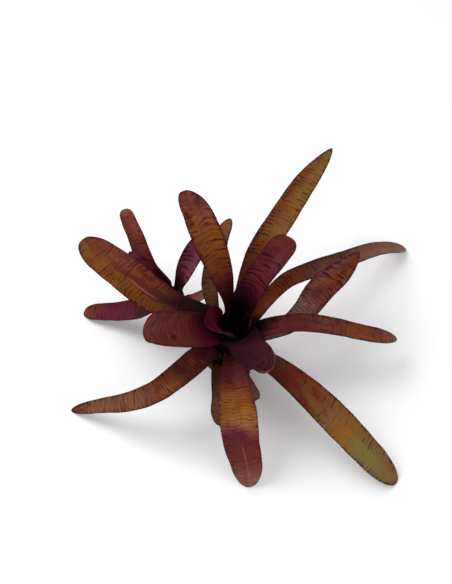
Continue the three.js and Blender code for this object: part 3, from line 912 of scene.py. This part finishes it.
def base_tone(nodes, mark, place, look):
    """The colour that runs along the leaf, tinted at its sides, streaked, clouded and patched."""
    blade = place[1]
    stops = [((at + 1) / 2, colour(tone)) for at, tone in look["tones"]]
    wandering = nodes.math("MULTIPLY_ADD", mark["Clouds"], TONES_WANDER, blade)
    tone = nodes.ramp(nodes.math("MULTIPLY_ADD", wandering, 0.5, TONES_CENTRE), stops)
    tone = side_tint(nodes, tone, place, look)
    on_blade = nodes.ranged(blade, *CLOUDS_ALONG)
    for name, strength, tint in (("Streaks", "streaks", "accent"), ("Clouds", "clouds", "cloud")):
        shown = nodes.math("MULTIPLY", nodes.math("MULTIPLY", mark[name], look[strength]), on_blade)
        tone = nodes.blend(shown, tone, colour(look[tint]))
    return add_patches(nodes, tone, place, mark["Clouds"], look)


def upper_skin(nodes, mark, place, look):
    """The colour of the leaf's upper face, laid on in coats."""
    blade = place[1]

    def fade_at(end, *to):
        return nodes.ranged(blade, end - BARS_FADE, end + BARS_FADE, *to)

    tone = base_tone(nodes, mark, place, look)
    tone = nodes.blend(nodes.math("MULTIPLY", mark["Lines"], look["lines"]), tone, colour(look["line"]))
    barred = nodes.math("MULTIPLY", fade_at(look["bars_from"]), fade_at(look["bars_to"], look["bars"], 0))
    tone = nodes.blend(nodes.math("MULTIPLY", mark["Bars"], barred), tone, colour(look["bar"]))
    tone = nodes.blend(nodes.math("MULTIPLY", mark["Specks"], look["specks"]), tone, colour(WINE))
    border = colour(look["margin"])
    if look["rim"]:
        border = nodes.blend(nodes.ranged(blade, *RIM_ALONG), border, colour(look["rim"]))
    tone = nodes.blend(nodes.math("MULTIPLY", mark["Margin"], MARGIN_STRENGTH), tone, border)
    # A painted highlight along the midrib's crease
    if look["crease"]:
        low, high = look["crease_range"]
        begun = nodes.ranged(blade, low, low + CREASE_HIGHLIGHT_FADE)
        shown = nodes.math("MULTIPLY", begun, mark["CreaseHighlight"])
        ended = nodes.ranged(blade, high - CREASE_HIGHLIGHT_FADE, high, look["crease"], 0)
        tone = nodes.blend(nodes.math("MULTIPLY", shown, ended), tone, colour(SALMON))
    return tone


def empty_material(name):
    """A material with nothing in it yet, and its nodes."""
    material = bpy.data.materials.new(name)
    material.use_nodes = True
    material.node_tree.nodes.clear()
    return material, Nodes(material.node_tree)


def finish_surface(nodes, inputs, height, strength, reach):
    """Ends a material in one surface, with a bump of the given height, strength and reach in metres."""
    bump = nodes.add("ShaderNodeBump", {"Height": height, "Strength": strength, "Distance": reach})
    surface = nodes.add("ShaderNodeBsdfPrincipled", {**inputs, "Normal": bump.outputs[0]})
    nodes.add("ShaderNodeOutputMaterial", {"Surface": surface.outputs[0]})


def leaf_material(name, look, marks, seed):
    """A waxy skin with a scurfy, cross-banded back."""
    material, nodes = empty_material(name)
    across, blade, face = nodes.split("place")
    margin = nodes.split("strap")[2]
    group = nodes.add("ShaderNodeGroup", {}, node_tree=marks)
    for socket, value in zip(MARK_INPUTS, (SEED_SHIFT * seed, look["bold"], look["bow"])):
        group.inputs[socket].default_value = value
    mark = group.outputs
    grain = mark["Grain"]

    skin_tone = upper_skin(nodes, mark, (across, blade), look)
    off_margin = nodes.ranged(margin, *SCURF_OFF_MARGIN)
    scurfy = nodes.math("MULTIPLY", off_margin, nodes.ranged(blade, *SCURF_ALONG))
    scurf = nodes.math("MULTIPLY", nodes.ranged(grain, *SCURF_GRAIN, *SCURF_STRENGTH), scurfy)
    back = nodes.blend(scurf, skin_tone, colour(GREY_MAUVE))
    back = nodes.blend(nodes.math("MULTIPLY", mark["Bars"], scurf), back, colour(SCURF))
    tone = nodes.blend(face, back, skin_tone)
    tone = nodes.blend(nodes.ranged(grain, *GRIME_GRAIN, *GRIME_STRENGTH), tone, colour(SHADE_AND_MARK_BLACK))

    height = nodes.math("MULTIPLY_ADD", mark["Veins"], VEIN_BUMP, nodes.math("MULTIPLY", grain, GRAIN_BUMP))
    height = nodes.math("MULTIPLY_ADD", mark["Lines"], LINE_BUMP, height)
    glossiest, dullest = (look["roughness"] + spread for spread in GLOSS_SPREAD)
    gloss = nodes.ranged(grain, *GLOSS_GRAIN, glossiest, dullest)
    gloss = nodes.math("MULTIPLY_ADD", nodes.math("SUBTRACT", 1.0, face), BACK_DULLNESS, gloss)
    inputs = {"Base Color": tone, "Roughness": gloss, "Specular IOR Level": SPECULAR}
    finish_surface(nodes, inputs, height, BUMP_STRENGTH, BUMP_METRES)
    return material


def stem_material():
    """Dry brown bark with rings of old leaf scars, and fibres along it."""
    material, nodes = empty_material("rootstock_bark")
    place = nodes.add("ShaderNodeTexCoord", {}).outputs["Object"]
    x, y, z = nodes.add("ShaderNodeSeparateXYZ", {0: place}).outputs[:]
    mottle = nodes.noise(place, scale=MOTTLE_SCALE, detail=4, roughness=0.6)
    stretched = nodes.join(x, y, nodes.math("MULTIPLY", z, FIBRE_STRETCH))
    fibres = nodes.noise(stretched, scale=FIBRE_SCALE, detail=3)
    wandering = nodes.math("MULTIPLY_ADD", mottle, RING_WANDER, z)
    rings = nodes.noise(nodes.join(0.0, 0.0, wandering), scale=RING_SCALE, detail=1)
    bark = nodes.ramp(mottle, [(0.25, colour(PLUM_BLACK)), (0.5, colour(BARK)), (0.75, colour(TAN))])
    bark = nodes.blend(nodes.ranged(rings, *RINGS_SHOWN), bark, colour(SHADE_AND_MARK_BLACK))
    bark = nodes.blend(nodes.ranged(fibres, *FIBRES_SHOWN), bark, colour(TAN))
    height = nodes.math("ADD", nodes.math("MULTIPLY", fibres, FIBRE_BUMP), mottle)
    inputs = {"Base Color": bark, "Roughness": BARK_ROUGHNESS, "Specular IOR Level": BARK_SPECULAR}
    finish_surface(nodes, inputs, height, BARK_BUMP_STRENGTH, BARK_BUMP_METRES)
    return material


def add_object(name, mesh, material, *nodes):
    """Puts a piece in the scene in place of the solids it stands for."""
    piece = bpy.data.objects.new(name, mesh)
    bpy.context.scene.collection.objects.link(piece)
    piece.data.materials.append(material)
    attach(piece, "root")
    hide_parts(*nodes)
    return piece


def dress_rosette(leaves, tank, place, marks, first_seed):
    """Every leaf of a rosette, each with its own seed."""
    for seed, leaf in enumerate(leaves, first_seed):
        name = leaf["name"]
        material = leaf_material("skin_" + name, SKINS[name], marks, seed)
        add_object("fine_" + name, leaf_mesh(leaf, tank, place, seed), material, name)


def tube(path, radii, sides):
    """Corners and faces of a round tube with closed ends along a path, in millimetres."""
    path = np.array(path, float)
    along = unit(np.gradient(path, axis=0))
    across = unit(np.cross(along, NEARLY_UP if abs(along[0][2]) < STEEP else (1, 0, 0)))
    other = np.cross(along, across)
    turn = np.linspace(0, 2 * math.pi, sides, endpoint=False)
    ring = across[:, None] * np.cos(turn)[:, None] + other[:, None] * np.sin(turn)[:, None]
    rings = path[:, None] + ring * np.array(radii)[:, None, None]
    rows = len(path)
    faces = ring_faces(rows, sides)
    faces.append(tuple(range(sides)))
    faces.append(tuple(range((rows - 1) * sides, rows * sides))[::-1])
    return rings.reshape(-1, 3), faces


def scarred(along, radii, pitch, depth):
    """Radii with the low steps that fallen leaves leave round a stem."""
    saw = (along / pitch) % 1
    return radii - depth * smooth(SCAR_FROM, 1, saw)


def stem_shape(profile, foot):
    """An upright stem from its profile of radii and heights."""
    radius, height = np.array(profile, float).T
    fine = np.arange(height[0], height[-1], STEM_ROW_PITCH)
    radii = scarred(fine, np.interp(fine, height, radius), **STEM_SCARS)
    path = np.stack([np.full_like(fine, foot[0]), np.full_like(fine, foot[1]), fine + foot[2]], axis=1)
    return tube(path, radii, STEM_SIDES)


def stolon_shape():
    """The runner from the mother's stem to the pup's."""
    share = np.linspace(0, 1, STOLON_ROWS)
    runner = Curve(STOLON_PATH)
    radii = scarred(share * runner.length, np.full(STOLON_ROWS, STOLON_RADIUS), **STOLON_SCARS)
    return tube(runner.at(share), radii, STOLON_SIDES)


def rootstock_mesh():
    """Both stems and the stolon, still three shapes, in one mesh in metres."""
    stems = (stem_shape(STEM_PROFILE, (0, 0, 0)), stem_shape(PUP_STEM_PROFILE, PUP_AT))
    corners, faces = [], []
    for more_corners, more_faces in (*stems, stolon_shape()):
        faces += [tuple(len(corners) + i for i in face) for face in more_faces]
        corners += (more_corners * MM).tolist()
    mesh = bpy.data.meshes.new("rootstock")
    mesh.from_pydata(corners, [], faces)
    mesh.update()
    return mesh


def dress_rootstock():
    """The rootstock, its stems and its stolon grown into one skin."""
    piece = add_object("fine_rootstock", rootstock_mesh(), stem_material(), "stem_and_stolon")
    remesh = piece.modifiers.new("grown_together", "REMESH")
    remesh.mode = "VOXEL"
    remesh.voxel_size = ROOTSTOCK_VOXEL * MM
    remesh.use_smooth_shade = True
    depsgraph = bpy.context.evaluated_depsgraph_get()
    grown = bpy.data.meshes.new_from_object(piece.evaluated_get(depsgraph))
    piece.modifiers.clear()
    piece.data = grown


def add_floor():
    """A plain pale floor, with a faint mottle."""
    mesh = bpy.data.meshes.new("floor")
    corners = [(x * FLOOR_REACH, y * FLOOR_REACH, 0) for x, y in ((-1, -1), (1, -1), (1, 1), (-1, 1))]
    mesh.from_pydata(corners, [], [(0, 1, 2, 3)])
    floor = bpy.data.objects.new("floor", mesh)
    bpy.context.scene.collection.objects.link(floor)
    material = bpy.data.materials.new("pale_floor")
    material.use_nodes = True
    nodes = Nodes(material.node_tree)
    surface = material.node_tree.nodes["Principled BSDF"]
    place = nodes.add("ShaderNodeTexCoord", {}).outputs["Object"]
    tone = nodes.blend(nodes.noise(place, scale=FLOOR_MOTTLE, detail=3), *FLOOR_TONES)
    material.node_tree.links.new(tone, surface.inputs["Base Color"])
    surface.inputs["Roughness"].default_value = FLOOR_ROUGHNESS
    mesh.materials.append(material)


def add_lamp(name, place, size, power):
    """A round area light that faces the plant."""
    light = bpy.data.lights.new(name, "AREA")
    light.shape = "DISK"
    light.size = size
    light.energy = power
    lamp = bpy.data.objects.new(name, light)
    lamp.location = place
    x, y, z = np.array(place) - np.array(LIGHTS_AIM)
    lamp.rotation_euler = (math.atan2(math.hypot(x, y), z), 0, math.atan2(y, x) + math.pi / 2)
    bpy.context.scene.collection.objects.link(lamp)


def add_camera():
    """The camera of the photograph: its height above the level and its distance."""
    camera = bpy.data.cameras.new("camera")
    camera.sensor_fit = "VERTICAL"
    camera.sensor_height = FRAME_HEIGHT
    camera.lens = LENS
    camera.clip_start = CLIP_START
    eye = bpy.data.objects.new("camera", camera)
    elevation = math.radians(VIEW_ELEVATION)
    x, y, z = VIEW_TARGET
    eye.location = (x, y - VIEW_DISTANCE * math.cos(elevation), z + VIEW_DISTANCE * math.sin(elevation))
    eye.rotation_euler = (math.pi / 2 - elevation, 0, 0)
    bpy.context.scene.collection.objects.link(eye)
    bpy.context.scene.camera = eye


def light_scene():
    """A pale studio with soft lamps."""
    scene = bpy.context.scene
    scene.view_settings.view_transform = "Standard"
    world = bpy.data.worlds.new("studio")
    world.use_nodes = True
    background = world.node_tree.nodes["Background"]
    background.inputs["Color"].default_value = WORLD_TONE
    background.inputs["Strength"].default_value = WORLD_STRENGTH
    scene.world = world
    for name, place, size, power in LAMPS:
        add_lamp(name, place, size, power)


add_camera()
light_scene()
add_floor()
marks = marks_group()
dress_rootstock()
dress_rosette(MOTHER_LEAVES, MOTHER_TANK, (0, 0, 0), marks, MOTHER_SEED)
dress_rosette(PUP_LEAVES, PUP_TANK, PUP_AT, marks, PUP_SEED)
